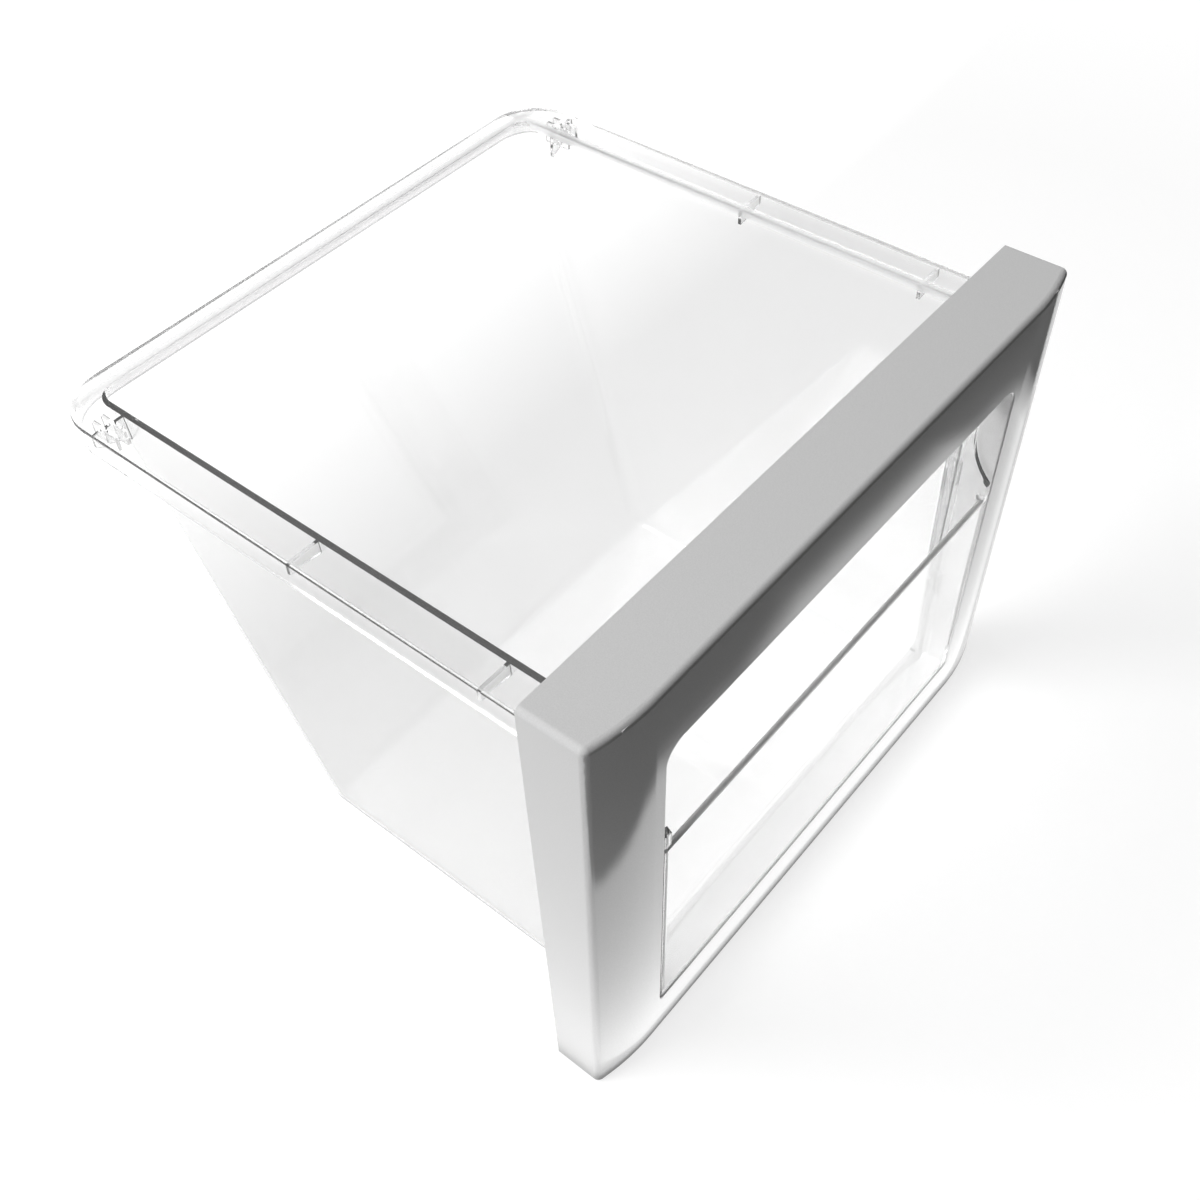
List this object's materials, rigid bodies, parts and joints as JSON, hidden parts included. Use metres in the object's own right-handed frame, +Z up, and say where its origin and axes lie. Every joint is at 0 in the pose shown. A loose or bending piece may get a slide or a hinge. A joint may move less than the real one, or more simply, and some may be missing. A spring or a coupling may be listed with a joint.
{
  "type": "freezer drawer",
  "caption": "Clear open-topped freezer drawer with a sloping back and a flanged rim, its low nose set in the window of a grey front frame with a hand gap.",
  "frame": {"origin": "on the surface that the drawer stands on, below the middle of its footprint", "axes": "+X across the drawer to the right as seen from its front, +Y from the front to the back, +Z up"},
  "size_m": [0.3, 0.2859, 0.238],
  "materials": {
    "clear_plastic": "clear, polished, as moulded",
    "silver_grey_plastic": "silver grey, semi-gloss, as moulded"
  },
  "bodies": {
    "root": {"tub": "clear_plastic", "front_frame": "silver_grey_plastic"}
  },
  "joints": []
}
